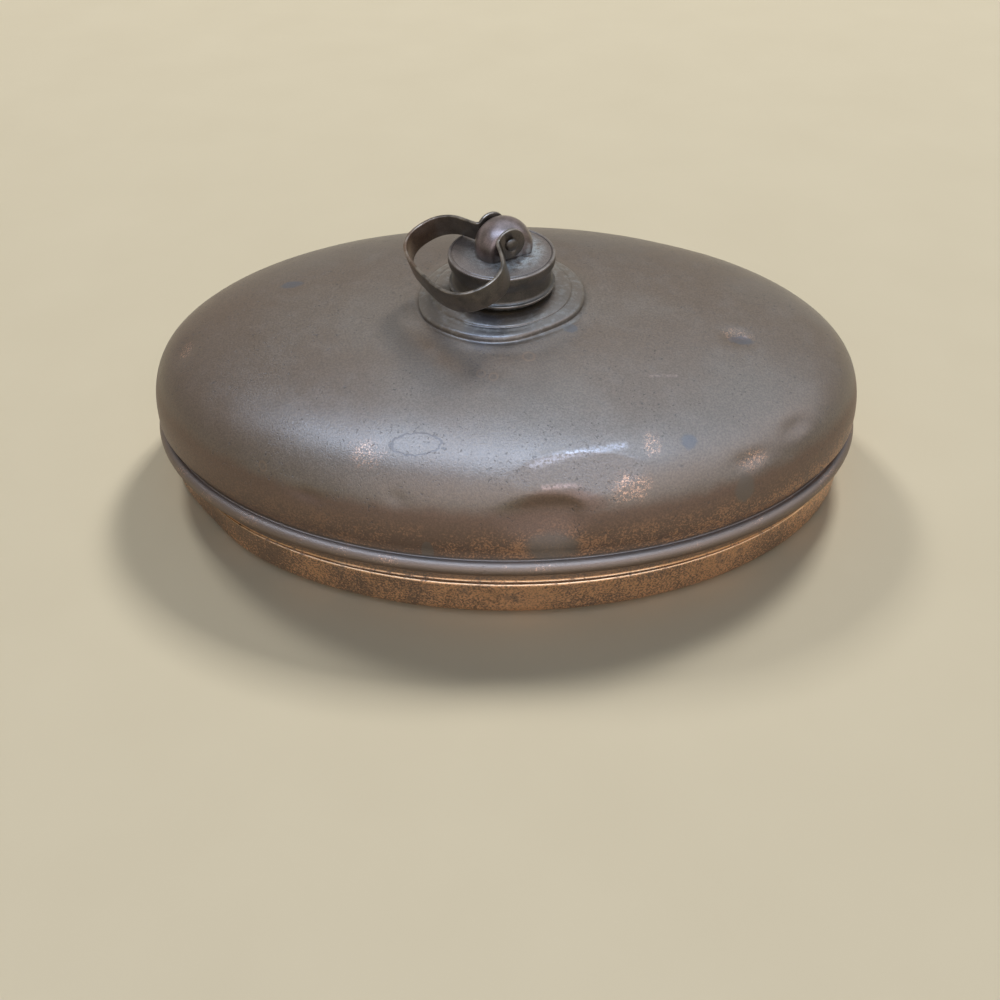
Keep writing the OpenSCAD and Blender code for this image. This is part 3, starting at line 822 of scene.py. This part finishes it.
# Colours of the dome
PATINA_GREY = (0.165, 0.132, 0.105)
PATINA_BROWN = (0.150, 0.110, 0.080)
PATINA_PALE = (0.200, 0.170, 0.145)
PATINA_LEFT = (0.115, 0.070, 0.042)
PATINA_BACK = (0.080, 0.060, 0.046)
# The wall's darker brown is partly painted shade under the shoulder
WALL_BROWN_AND_SHADE = (0.138, 0.076, 0.046)
WALL_ORANGE = (0.350, 0.180, 0.090)
WALL_LEFT = (0.100, 0.060, 0.040)
# Painted highlights: pale along the large dent's lip, and pink along dent rims, which is also the
# scratch's colour
LIP_HIGHLIGHT_PALE = (0.50, 0.50, 0.55)
HIGHLIGHT_AND_SCRATCH_PINK = (0.52, 0.40, 0.38)
STAIN_BLUE = (0.075, 0.085, 0.110)
STAIN_GREY = (0.118, 0.092, 0.074)
STAIN_EDGE = (0.26, 0.17, 0.11)
OUTLINE_BROWN = (0.050, 0.036, 0.028)
COLLAR_GREY = (0.140, 0.122, 0.108)
COLLAR_BLUE = (0.055, 0.062, 0.090)
BEAD_BROWN = (0.150, 0.096, 0.062)
# The bead's grey top is partly a painted sheen
BEAD_WORN_SHEEN_GREY = (0.175, 0.132, 0.104)

# Colours of the base
BASE_BROWN = (0.220, 0.134, 0.082)
BASE_ORANGE = (0.640, 0.360, 0.185)
BASE_STAIN = (0.165, 0.120, 0.088)
LEDGE_BRIGHT = (0.66, 0.42, 0.24)
# Painted shade in the recess between the ledge and the bead
RECESS_SHADE = (0.060, 0.042, 0.030)

# Colours of the cap, the bail and the knob
CAP_DARK = (0.046, 0.040, 0.032)
CAP_MID = (0.082, 0.066, 0.050)
CAP_WORN = (0.46, 0.42, 0.38)
FLANGE_GREY = (0.190, 0.155, 0.138)
BAIL_DARK = (0.038, 0.030, 0.022)
BAIL_MID = (0.074, 0.056, 0.038)
BAIL_WORN = (0.46, 0.40, 0.34)
LOOP_BROWN = (0.200, 0.105, 0.052)
KNOB_DARK = (0.115, 0.085, 0.076)
KNOB_LIGHT = (0.225, 0.168, 0.162)
# Painted shade at the knob's foot
KNOB_FOOT_SHADE = (0.055, 0.044, 0.038)

# Colours of the rest, from dark to light
NECK_BRASS = ((0.16, 0.12, 0.06), (0.34, 0.25, 0.12))
SOLDER_GREY = ((0.20, 0.20, 0.19), (0.36, 0.36, 0.35))
LEATHER_BROWN = ((0.055, 0.030, 0.018), (0.095, 0.055, 0.032))
FLOOR_CREAM = ((0.61, 0.540, 0.395), (0.65, 0.580, 0.430))

# Marks, as places on the bottle. A patch or stain has a middle, its reach along each axis,
# how ragged its edge is, how large that raggedness is and, in some, how soft the edge is.
RUBBED_PATCHES = [
    ((57.5, -77, 63.5), (3.2, 4.5, 4), 1.2, 3, 1.2),
    ((50, -90, 53), (7, 6, 4.5), 1.4, 4, 1.2),
    ((-47, -81, 60), (6, 5, 4), 1.4, 4, 1.4),
    ((-130.5, -17, 61), (2.5, 4, 4), 0.8, 3, 1.4),
    ((96, -72, 52), (6, 5, 3), 1.0, 4, 1.4),
    ((94, -17, 71), (5, 3, 5), 0.8, 4, 1.4),
]
BLUE_STAINS = [
    ((27.5, -22.3, 77), (3.0, 2.6, 3), 0.6, 2),
    ((71.5, -73.8, 62.4), (3.2, 3, 3), 0.7, 2),
    ((-91, 17, 71), (5, 3, 4), 0.6, 3),
    ((96, -20, 71), (5, 3, 4), 0.9, 3),
]
GREY_STAINS = [
    ((21.5, -99, 32), (10, 8, 6), 0.5, 5, 0.5),
    ((-25, -101, 29), (2.4, 6, 5), 0.15, 2, 0.2),
    ((94, -78, 43), (4, 5, 6), 0.5, 3),
]
# The large dent's hollow takes the wall's brown, partly painted shade
HOLLOW_BROWN_AND_SHADE = ((25, -96, 48.5), (17, 9, 6.5), 0.4, 5, 0.6)
COLLAR_BLOOM = ((-6, -29, 80), (7, 8, 6), 1.0, 5, 1.0)
BAIL_BEND = ((-35, 2, 99), (13, 15, 11), 0.5, 6, 1.2)

# A ring-shaped stain has a middle, its reach and the line's width, and then the same
OUTLINE = ((-28.8, -80.7, 65.6), (9.4, 3.8, 9), 0.11, 0.55, 3)
STAIN_RINGS = [
    ((-6.3, -50.9, 75.2), (1.6, 1.8, 4), 0.3),
    ((-1.5, -52.4, 75), (1.6, 1.8, 4), 0.3),
    ((11.6, -40.8, 76), (2.2, 2.4, 4), 0.3),
    ((-88.5, -77.9, 50.2), (1.5, 3, 1.7), 0.35),
]

# A straight mark has a start, an end and a width
# Painted highlights along the large dent's lip
LIP_HIGHLIGHT_LINES = [
    ((14, -87.5, 61.2), (27, -83.2, 63.2), 3.0),
    ((27, -83.2, 63.2), (47, -78.2, 63.2), 2.6),
]
# Painted highlights along the rims of dents and creases
RIM_HIGHLIGHT_LINES = [
    ((18, -92.2, 54.8), (31, -91.0, 55.2), 1.6),
    ((-79, -85.0, 46.8), (-64, -91, 45.6), 1.6),
    ((-38, -94.9, 50.2), (-34, -95.4, 50), 1.5),
    ((92, -20.6, 70.5), (98, -17.5, 70.5), 1.8),
]
SCRATCH = ((58, -47.5, 72.5), (68, -46.0, 71.7), 1.2)


def dome_material():
    s = Shader("aged_dome_copper")
    cloud = s.noise(55, 3, 0.5)
    mottle = s.noise(9, 4, 0.6)
    grain = s.noise(0.8, 2, 0.65)
    sand = s.noise(0.45, 1, 0.5)
    flecks = s.noise(0.7, 3, 0.7, 1.0)

    # Grey and brown patina, browner at the left end and darker towards the back
    crown = s.mix(s.step(cloud, 0.38, 0.62), PATINA_BROWN, PATINA_GREY)
    crown = s.mix(s.times(s.step(mottle, 0.45, 0.75), 0.30), crown, PATINA_PALE)
    crown = s.mix(s.times(s.step(s.x, -60.0, -148.0), 0.8), crown, PATINA_LEFT)
    crown = s.mix(s.times(s.step(s.y, -5.0, 95.0), 0.6), crown, PATINA_BACK)

    # Below the shoulder the patina is thin and the copper shows through in grains. The darker
    # brown there, and in the large dent's hollow, is partly painted shade where the sheet turns
    # away from the light
    low = s.step(s.vary(s.z, mottle, 4.0), 50.5, 44.0)
    low = s.most(low, s.times(s.spot(*HOLLOW_BROWN_AND_SHADE), 0.9))
    thin = s.vary(s.vary(grain, mottle, 0.7), cloud, 0.5)
    bare = s.times(s.step(thin, 0.46, 0.68), s.step(s.z, 44.0, 32.0), s.step(s.x, -150.0, -10.0))
    wall = s.mix(bare, WALL_BROWN_AND_SHADE, WALL_ORANGE)
    wall = s.mix(s.times(s.step(s.x, 0.0, -90.0), 0.35), wall, WALL_LEFT)
    color = s.grain(s.mix(low, crown, wall), grain, 0.22)

    # Dark pits all over, thicker in places
    pits = s.step(s.noise(1.3, 2, 0.6), 0.63, 0.68)
    pitted = s.times(pits, s.step(s.noise(17, 3), 0.42, 0.58))
    color = s.mix(s.times(pitted, 0.65), color, NEARLY_BLACK)

    # Bright grains of bare copper, in patches that were rubbed
    rubbed = s.most(*(s.spot(*patch) for patch in RUBBED_PATCHES))
    shine = s.times(rubbed, s.step(flecks, 0.53, 0.60))
    color = s.mix(s.times(shine, 0.85), color, BARE_COPPER)

    # Painted highlights, pale along the large dent's lip and pink along the rims of dents and
    # creases, and a pink scratch
    lip_highlight = s.most(*(s.line(*ridge) for ridge in LIP_HIGHLIGHT_LINES))
    lip_highlight = s.times(lip_highlight, s.step(s.noise(1.1, 3, 0.7), 0.30, 0.62))
    rim_highlights_and_scratch = s.most(*(s.line(*rim_line) for rim_line in RIM_HIGHLIGHT_LINES), s.times(s.line(*SCRATCH), 0.5))
    rim_highlights_and_scratch = s.times(rim_highlights_and_scratch, s.step(s.noise(1.3, 3, 0.7), 0.34, 0.60))
    color = s.mix(s.times(lip_highlight, 0.55), color, LIP_HIGHLIGHT_PALE)
    color = s.mix(s.times(rim_highlights_and_scratch, 0.65), color, HIGHLIGHT_AND_SCRATCH_PINK)

    # Stains and drips
    blues = s.most(*(s.spot(*stain) for stain in BLUE_STAINS))
    color = s.mix(s.times(blues, 0.65), color, STAIN_BLUE)
    greys = s.most(*(s.spot(*stain) for stain in GREY_STAINS))
    color = s.mix(s.times(greys, 0.85), color, STAIN_GREY)
    outline = s.ring(*OUTLINE)
    broken = s.times(outline, s.step(s.noise(2.5, 2), 0.32, 0.5))
    rings = s.most(broken, *(s.ring(*stain) for stain in STAIN_RINGS))
    color = s.mix(s.times(rings, 0.45), color, STAIN_EDGE)
    color = s.mix(s.times(outline, 0.85), color, OUTLINE_BROWN)

    # Neck collar: greyer, with a dark blue bloom on its front and pale dust
    away = s.vector("LENGTH", s.vector("MULTIPLY", s.place, (1, 1, 0)))
    collar = s.step(away, 37.0, 33.0)
    color = s.mix(s.times(collar, 0.55), color, COLLAR_GREY)
    color = s.mix(s.times(s.spot(*COLLAR_BLOOM), 0.6), color, COLLAR_BLUE)
    dust = s.times(collar, s.step(s.noise(3.0, 4, 0.65), 0.46, 0.70))
    color = s.mix(s.times(dust, 0.35), color, DUST)

    # Brown bead whose top is worn grey, partly a painted sheen, with a dark line of painted shade
    # in the crease over it
    bead = s.band(s.z, BEAD_HEIGHT, 3.6, 3.0)
    top = s.times(bead, s.step(s.z, BEAD_HEIGHT - 1.0, BEAD_HEIGHT + 1.6))
    color = s.mix(s.times(bead, 0.85), color, BEAD_BROWN)
    color = s.mix(s.times(top, 0.65), color, BEAD_WORN_SHEEN_GREY)
    sparkle = s.times(top, s.step(flecks, 0.54, 0.66), s.step(s.noise(14, 2), 0.52, 0.66))
    color = s.mix(s.times(sparkle, 0.8), color, BARE_COPPER)
    # Painted shade: a dark line in the crease over the bead
    crease = s.band(s.z, CREASE_HEIGHT - 0.5, 0.7, 0.2)
    color = s.mix(s.times(crease, 0.7), color, NEARLY_BLACK)

    bright = s.most(shine, sparkle, s.times(s.most(lip_highlight, rim_highlights_and_scratch), 0.7))
    rough = s.vary(s.blend(s.step(mottle, 0.3, 0.7), 0.36, 0.42), grain, 0.15)
    rough = s.blend(low, rough, 0.44)
    rough = s.blend(collar, rough, 0.30)
    rough = s.blend(bright, rough, 0.30)
    metal = s.blend(bright, s.blend(low, 0.30, 0.45), 0.90)
    height = s.math("ADD", s.times(sand, 0.5), s.times(grain, 0.6))
    height = s.math("SUBTRACT", height, s.times(pitted, 0.7))
    normal = s.bump(s.noise(5, 3, 0.5), 0.08, 0.5, s.bump(height, 0.10, 1.0))
    return s.finish(color, rough, metal, normal, ior=2.0)


def base_material():
    s = Shader("aged_base_copper")
    cloud = s.noise(26, 4, 0.6)
    mottle = s.noise(6, 4, 0.6)
    grain = s.noise(0.8, 2, 0.65)

    # More bare copper than on the dome, most of it on the right
    thin = s.vary(grain, cloud, 0.9)
    thin = s.math("ADD", thin, s.times(s.step(s.x, -130.0, 20.0), 0.10))
    bare = s.step(thin, 0.42, 0.70)
    color = s.mix(bare, BASE_BROWN, BASE_ORANGE)
    color = s.mix(s.times(s.step(mottle, 0.55, 0.68), 0.55), color, BASE_STAIN)
    color = s.grain(color, grain, 0.20)
    pits = s.step(s.noise(1.1, 2, 0.55), 0.64, 0.72)
    color = s.mix(s.times(pits, 0.6), color, NEARLY_BLACK)

    # The ledge's worn edge and painted shade in the recess over it
    ledge = s.times(s.band(s.z, LEDGE_HEIGHT, 0.65, 0.25), s.step(s.noise(3.2, 2), 0.34, 0.46))
    color = s.mix(s.times(ledge, 0.8), color, LEDGE_BRIGHT)
    above = s.step(s.z, LEDGE_HEIGHT + 0.35, LEDGE_HEIGHT + 0.9)
    color = s.mix(s.times(above, 0.7), color, RECESS_SHADE)

    rough = s.blend(ledge, s.blend(s.step(mottle, 0.3, 0.7), 0.38, 0.50), 0.30)
    metal = s.blend(ledge, s.blend(bare, 0.35, 0.55), 0.90)
    height = s.math("SUBTRACT", s.times(grain, 0.6), s.times(pits, 0.7))
    normal = s.bump(s.noise(7, 3, 0.5), 0.12, 0.5, s.bump(height, 0.06, 0.9))
    return s.finish(color, rough, metal, normal, ior=1.8)


def bronze_material(name, dark, mid, worn_color, dusty=False):
    """Dark brown patina over brass, worn pale along the edges."""
    s = Shader(name)
    cloud = s.noise(7, 4, 0.6)
    grain = s.noise(0.5, 3, 0.6)
    color = s.mix(s.step(cloud, 0.35, 0.65), dark, mid)
    rough = s.blend(s.step(cloud, 0.3, 0.7), 0.34, 0.46)
    if dusty:
        # Grey-brown flange with pale dust round the knob, most of it on the right
        top = s.step(s.z, CAP_TOP - 1.2, CAP_TOP - 0.3)
        color = s.mix(s.times(top, 0.85), color, FLANGE_GREY)
        away = s.vector("SUBTRACT", s.place, (0.8, 0.4, 0))
        away = s.vector("LENGTH", s.vector("MULTIPLY", away, (1, 1, 0)))
        near = s.step(away, 19.0, 11.5)
        right = s.step(s.math("ADD", s.x, s.times(s.y, -0.3)), -8.0, 10.0)
        right = s.math("ADD", s.times(right, 0.60), 0.40)
        dust = s.times(top, near, right, s.step(s.noise(2.6, 4, 0.65), 0.30, 0.62))
        color = s.mix(dust, color, DUST)
        rough = s.blend(dust, rough, 0.70)
        groove = s.step(s.z, CAP_TOP - 0.05, CAP_TOP - 0.2)
        groove = s.times(top, groove, s.step(away, 20.9, 20.4))
        color = s.mix(s.times(groove, 0.7), color, NEARLY_BLACK)
    else:
        # The inside of the loop's left bend is browner
        color = s.mix(s.times(s.spot(*BAIL_BEND), 0.6), color, LOOP_BROWN)
    color = s.grain(color, grain, 0.28)
    edge = s.times(s.weight("worn"), s.step(s.noise(6, 3, 0.6), 0.36, 0.62))
    color = s.mix(s.times(edge, 0.6), color, worn_color)
    rough = s.blend(edge, rough, 0.30)
    normal = s.bump(s.noise(2.8, 3, 0.5), 0.09, 0.5, s.bump(grain, 0.05, 0.7))
    return s.finish(color, rough, s.blend(edge, 0.40, 0.80), normal, ior=1.8)


def boss_material():
    s = Shader("brown_knob_brass")
    cloud = s.noise(6, 3, 0.5)
    grain = s.noise(0.5, 3, 0.6)
    color = s.grain(s.mix(s.step(cloud, 0.35, 0.65), KNOB_DARK, KNOB_LIGHT), grain, 0.20)
    # The knob is painted darker near its foot, as painted shade where it meets the flange
    low = s.step(s.z, CAP_TOP + 3.5, CAP_TOP + 0.3)
    color = s.mix(s.times(low, 0.65), color, KNOB_FOOT_SHADE)
    right = s.times(s.step(s.x, 2.0, 9.0), s.step(s.z, CAP_TOP + 9.0, CAP_TOP + 1.0))
    dust = s.times(right, s.step(s.noise(2.6, 4, 0.65), 0.40, 0.66))
    color = s.mix(s.times(dust, 0.7), color, DUST)
    normal = s.bump(s.noise(2.6, 3, 0.5), 0.12, 0.6, s.bump(grain, 0.04, 0.7))
    rough = s.blend(s.step(cloud, 0.3, 0.7), 0.28, 0.38)
    return s.finish(color, s.blend(dust, rough, 0.7), s.blend(low, 0.40, 0.3), normal, ior=2.0)


def neck_material():
    s = Shader("dull_neck_brass")
    cloud = s.noise(5, 4, 0.6)
    color = s.mix(s.step(cloud, 0.4, 0.6), *NECK_BRASS)
    rough = s.blend(s.step(cloud, 0.3, 0.7), 0.32, 0.50)
    return s.finish(color, rough, 0.8, s.bump(s.noise(0.6, 3, 0.6), 0.05, 0.6))


def solder_material():
    s = Shader("grey_solder")
    cloud = s.noise(2.5, 4, 0.6)
    color = s.mix(s.step(cloud, 0.4, 0.6), *SOLDER_GREY)
    return s.finish(color, s.blend(cloud, 0.35, 0.6), 0.85, s.bump(cloud, 0.2, 0.7))


def leather_material():
    s = Shader("washer_leather")
    pores = s.noise(0.45, 3, 0.7)
    cloud = s.noise(4, 3, 0.5)
    color = s.mix(s.step(cloud, 0.35, 0.65), *LEATHER_BROWN)
    return s.finish(color, s.blend(pores, 0.6, 0.85), 0.0, s.bump(pores, 0.15, 0.8))


def floor_material():
    s = Shader("pale_floor")
    color = s.mix(s.noise(60, 3, 0.5), *FLOOR_CREAM)
    return s.finish(color, 0.65, 0.0, ior=1.3)


# Pieces on their bodies

dome = make_upper_shell()
base = make_lower_shell()
cap = make_cap()
cap_thread = make_cap_thread()
boss = make_boss()
spigot = make_spigot()
pin = make_pin()
bail = make_bail()

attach(dome, "bottle")
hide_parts("upper_shell")
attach(base, "bottle")
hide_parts("lower_shell")
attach(cap, "cap")
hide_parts("cap")
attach(cap_thread, "cap")
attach(boss, "cap")
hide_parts("bail_boss")
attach(spigot, "cap")
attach(pin, "cap")
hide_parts("bail_pin")
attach(bail, "bail")
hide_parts("bail")

cap_bronze = bronze_material("dark_cap_bronze", CAP_DARK, CAP_MID, CAP_WORN, dusty=True)
bail_bronze = bronze_material("dark_bail_bronze", BAIL_DARK, BAIL_MID, BAIL_WORN)
solder = solder_material()
dress(dome, dome_material())
dress(base, base_material())
dress(cap, cap_bronze)
dress(cap_thread, cap_bronze)
boss_brass = boss_material()
dress(boss, boss_brass)
dress(spigot, boss_brass)
dress(pin, bail_bronze)
dress(bail, bail_bronze)
dress(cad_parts["neck"], neck_material())
dress(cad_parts["neck_solder"], solder)
dress(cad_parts["seam_solder"], solder)
dress(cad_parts["gasket"], leather_material())


# Floor, lights and camera

# Lamps in metres: name, place, target, size and power. These light the bottle and aren't
# reflected in it.
LAMPS = [
    ("overhead", (0.0, 0.02, 1.1), (0, 0, 0), (1.2, 0.9), 0.6),
    ("fill", (0.0, -1.2, 0.75), (0, 0, 0.05), (1.6, 0.9), 2.6),
    ("back_left", (-2.0, 3.4, 3.7), (0, 0, 0), (0.9, 0.9), 112),
    ("back_right", (1.35, 3.4, 3.7), (0, 0, 0), (0.9, 0.9), 186),
]

# These are only reflected, and their last value is their colour
GLOWING_CARDS = [
    ("front", (0.3, -1.2, 0.66), (0.1, 0, 0.05), (2.6, 1.05), 12.3, (1.0, 0.94, 0.98)),
    ("right", (1.5, -0.2, 0.9), (0, 0, 0.05), (1.4, 0.8), 3.9, (0.96, 0.92, 1.0)),
    ("left", (-1.5, -0.2, 0.8), (0, 0, 0.05), (1.4, 0.7), 0.6, (1.0, 0.68, 0.42)),
    ("ceiling", (0.65, 0.2, 1.15), (0.65, 0.2, 0), (2.2, 2.0), 14, (0.62, 0.79, 1.0)),
    ("window", (-0.14, -0.33, 1.0), (-0.04, -0.05, 0.05), (1.3, 0.42), 11, (0.56, 0.72, 1.0)),
]
WORLD_COLOR = (0.96, 0.98, 1.0)
WORLD_STRENGTH = 0.13
BACK_WALL_COLOR = (0.42, 0.40, 0.36)


# Floor and the photograph's camera, in millimetres and radians
FLOOR_HALF_SIZE = 2500
SENSOR_WIDTH = 36
FOCAL_SHARE = 1.075
CAMERA_PITCH, CAMERA_ROLL, CAMERA_YAW = 0.74, -0.017, 0.048
CAMERA_DISTANCE = 465.7
CAMERA_TARGET = (-2.35, -39.28, 0)


def make_floor():
    half = FLOOR_HALF_SIZE
    corners = [(-half, -half, 0), (half, -half, 0), (half, half, 0), (-half, half, 0)]
    floor = make_object("floor", corners, [(0, 1, 2, 3)])
    floor.data.materials.append(floor_material())


def make_lamp(name, place, target, size, power, color=(1, 1, 1), lights=True):
    """A rectangular lamp that faces a target. It lights the bottle, or else is only reflected."""
    lamp = bpy.data.lights.new(name, "AREA")
    lamp.shape = "RECTANGLE"
    lamp.size, lamp.size_y = size
    lamp.energy = power
    lamp.color = color
    piece = bpy.data.objects.new(name, lamp)
    piece.location = place
    piece.rotation_euler = (Vector(target) - Vector(place)).to_track_quat("-Z", "Y").to_euler()
    piece.visible_diffuse = lights
    piece.visible_glossy = not lights
    bpy.context.scene.collection.objects.link(piece)


def make_world():
    world = bpy.data.worlds.new("studio")
    bpy.context.scene.world = world
    world.use_nodes = True
    tree = world.node_tree
    light = tree.nodes["Background"]
    light.inputs["Color"].default_value = (*WORLD_COLOR, 1)
    light.inputs["Strength"].default_value = WORLD_STRENGTH

    # The camera and reflections see a pale wall past the floor, which lights nothing
    wall = tree.nodes.new("ShaderNodeBackground")
    wall.inputs["Color"].default_value = (*BACK_WALL_COLOR, 1)
    rays = tree.nodes.new("ShaderNodeLightPath").outputs
    seen = rays["Is Camera Ray"]
    for ray in ("Is Glossy Ray", "Is Transmission Ray"):
        either = tree.nodes.new("ShaderNodeMath")
        either.operation = "MAXIMUM"
        tree.links.new(seen, either.inputs[0])
        tree.links.new(rays[ray], either.inputs[1])
        seen = either.outputs[0]
    both = tree.nodes.new("ShaderNodeMixShader")
    tree.links.new(seen, both.inputs[0])
    tree.links.new(light.outputs[0], both.inputs[1])
    tree.links.new(wall.outputs[0], both.inputs[2])
    tree.links.new(both.outputs[0], tree.nodes["World Output"].inputs["Surface"])


def make_camera():
    """The photograph's view: a camera that looks down at the bottle from in front."""
    lens = bpy.data.cameras.new("camera")
    lens.sensor_width = SENSOR_WIDTH
    lens.lens = SENSOR_WIDTH * FOCAL_SHARE
    forward = Vector((0, math.cos(CAMERA_PITCH), -math.sin(CAMERA_PITCH)))
    level = Vector((1, 0, 0))
    upright = Vector((0, math.sin(CAMERA_PITCH), math.cos(CAMERA_PITCH)))
    right = math.cos(CAMERA_ROLL) * level + math.sin(CAMERA_ROLL) * upright
    up = math.cos(CAMERA_ROLL) * upright - math.sin(CAMERA_ROLL) * level
    turn = Matrix.Rotation(CAMERA_YAW, 3, "Z")
    axes = Matrix((turn @ right, turn @ up, turn @ -forward)).transposed()
    place = turn @ (Vector(CAMERA_TARGET) - CAMERA_DISTANCE * forward)
    camera = bpy.data.objects.new("camera", lens)
    camera.matrix_world = Matrix.Translation(place * MM) @ axes.to_4x4()
    bpy.context.scene.collection.objects.link(camera)
    bpy.context.scene.camera = camera


make_floor()
for lamp in LAMPS:
    make_lamp(*lamp)
for card in GLOWING_CARDS:
    make_lamp(*card, lights=False)
make_world()
make_camera()
bpy.context.scene.view_settings.view_transform = "Standard"
